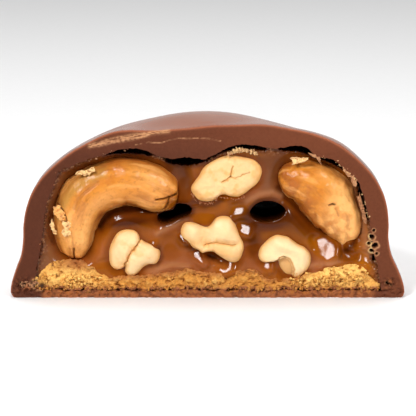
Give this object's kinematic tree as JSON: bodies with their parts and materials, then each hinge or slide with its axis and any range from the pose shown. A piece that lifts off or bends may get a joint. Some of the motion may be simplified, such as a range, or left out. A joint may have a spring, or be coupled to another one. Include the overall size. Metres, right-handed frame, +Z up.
{
  "type": "cut half of a cashew turtle candy",
  "caption": "Half of a domed milk chocolate with a flared foot, cut flat to show its caramel filling, whole and sliced cashews, and a crumbly biscuit base.",
  "frame": {"origin": "on the dome's axis, at the middle of the whole candy's round base, in the plane of the flat underside", "axes": "+Z up along the dome's axis, +X along the knife cut to the right of a viewer who faces it, -Y out of the cut face towards that viewer"},
  "size_m": [0.0667, 0.0372, 0.0302],
  "materials": {
    "milk_chocolate": "satin milk chocolate, glossy on the moulded outside and matt on the cut",
    "soft_caramel": "wet, glossy and slightly see-through",
    "roasted_cashew": "smooth roasted skin side, lightly oily",
    "cut_cashew": "cream cut flesh, satin",
    "baked_biscuit": "matt golden crumb"
  },
  "bodies": {
    "root": {"chocolate_shell": "milk_chocolate", "caramel": "soft_caramel", "cashew_left": "roasted_cashew", "cashew_right": "roasted_cashew", "cashew_top": "cut_cashew", "cashew_low_left": "cut_cashew", "cashew_low_mid": "cut_cashew", "cashew_low_right": "cut_cashew", "biscuit_base": "baked_biscuit"}
  },
  "joints": []
}
